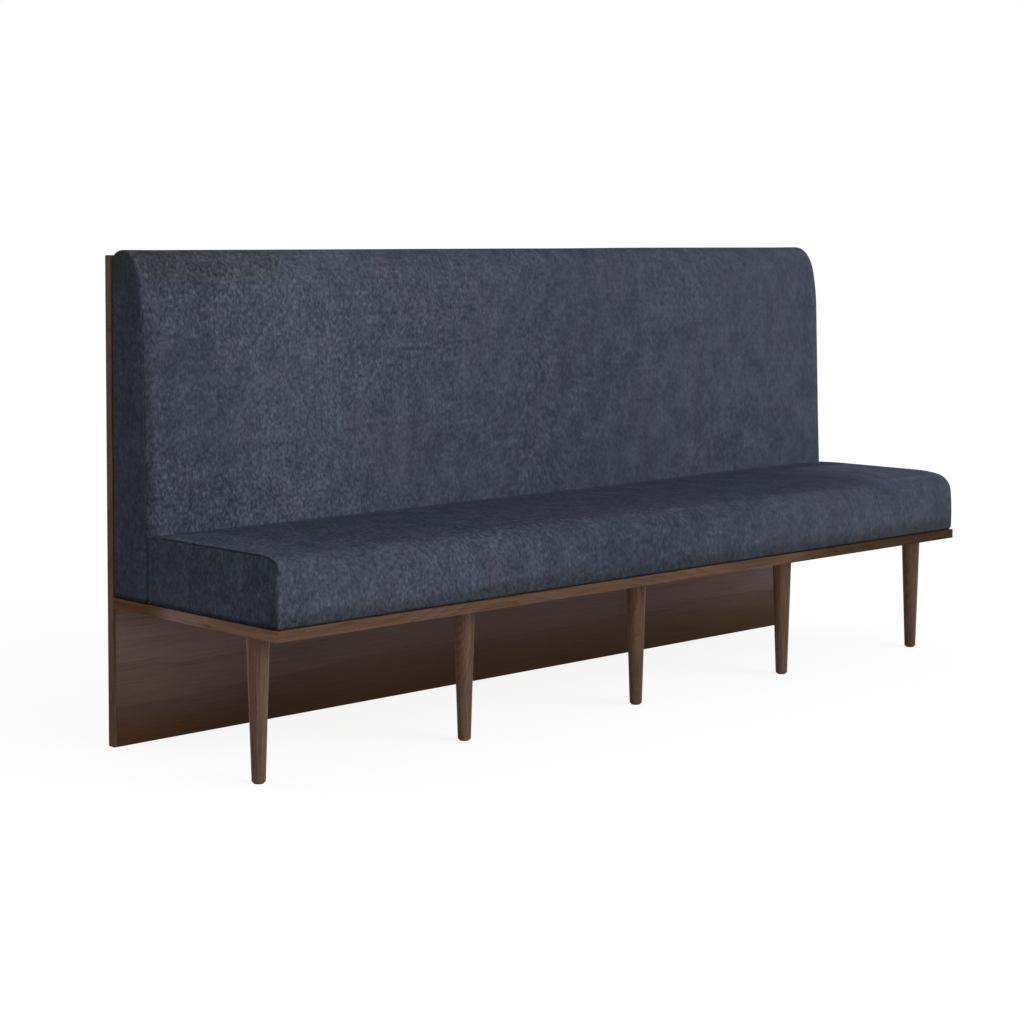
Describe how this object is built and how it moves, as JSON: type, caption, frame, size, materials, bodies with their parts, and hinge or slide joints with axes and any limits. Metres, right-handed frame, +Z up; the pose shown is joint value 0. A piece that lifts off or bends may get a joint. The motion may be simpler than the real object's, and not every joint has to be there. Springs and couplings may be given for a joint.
{
  "type": "restaurant banquette seat",
  "caption": "Long upholstered banquette: full-height wooden back panel, wooden deck on turned tapered legs, and fabric seat and back cushions over webbed frames.",
  "frame": {"origin": "on the floor, under the middle of the overall box", "axes": "+X along the seat to the right of someone facing it, -Y the front where people sit, +Y the rear face of the panel, +Z up"},
  "size_m": [2.268, 0.601, 1.08],
  "materials": {
    "walnut_veneer": "dark walnut veneer, satin lacquer",
    "walnut_solid": "dark stained solid walnut, satin lacquer",
    "frame_hardwood": "planed beech, unfinished",
    "booth_fabric": "slate blue chenille weave with a short pile",
    "polyester_wrap": "white polyester wadding",
    "cushion_foam": "cream polyurethane foam",
    "elastic_webbing": "black elastic webbing",
    "black_lining": "black non-woven lining",
    "zinc_steel": "bright zinc plate",
    "clip_aluminium": "mill finish extrusion",
    "nylon_glide": "dark brown nylon"
  },
  "bodies": {
    "root": {"back_cover": "booth_fabric", "back_cover_end_left": "booth_fabric", "back_cover_end_right": "booth_fabric", "back_foam": "cushion_foam", "back_panel": "walnut_veneer", "back_panel_edge_left": "walnut_solid", "back_panel_edge_right": "walnut_solid", "back_panel_edge_top": "walnut_solid", "back_rail_bottom": "frame_hardwood", "back_rail_clip": "frame_hardwood", "back_rail_top": "frame_hardwood", "back_screws": "zinc_steel", "back_upright_1": "frame_hardwood", "back_upright_2": "frame_hardwood", "back_upright_3": "frame_hardwood", "back_upright_4": "frame_hardwood", "back_upright_5": "frame_hardwood", "back_webbing": "elastic_webbing", "back_wrap": "polyester_wrap", "cleat_deck_screws": "zinc_steel", "cleat_panel_screws": "zinc_steel", "clip_screws": "zinc_steel", "deck_cleat": "frame_hardwood", "deck_edge_front": "walnut_solid", "deck_edge_left": "walnut_solid", "deck_edge_right": "walnut_solid", "frame_clips": "clip_aluminium", "leg_1": "walnut_solid", "leg_2": "walnut_solid", "leg_3": "walnut_solid", "leg_4": "walnut_solid", "leg_5": "walnut_solid", "leg_glide_1": "nylon_glide", "leg_glide_2": "nylon_glide", "leg_glide_3": "nylon_glide", "leg_glide_4": "nylon_glide", "leg_glide_5": "nylon_glide", "leg_hanger_bolts": "zinc_steel", "leg_plate_screws": "zinc_steel", "leg_plates": "zinc_steel", "panel_clips": "clip_aluminium", "seat_corner_blocks": "frame_hardwood", "seat_cover": "booth_fabric", "seat_cover_end_left": "booth_fabric", "seat_cover_end_right": "booth_fabric", "seat_cross_rail_1": "frame_hardwood", "seat_cross_rail_2": "frame_hardwood", "seat_cross_rail_3": "frame_hardwood", "seat_deck": "walnut_veneer", "seat_foam": "cushion_foam", "seat_lining": "black_lining", "seat_rail_front": "frame_hardwood", "seat_rail_left": "frame_hardwood", "seat_rail_rear": "frame_hardwood", "seat_rail_right": "frame_hardwood", "seat_screws": "zinc_steel", "seat_webbing": "elastic_webbing", "seat_wrap": "polyester_wrap"}
  },
  "joints": []
}
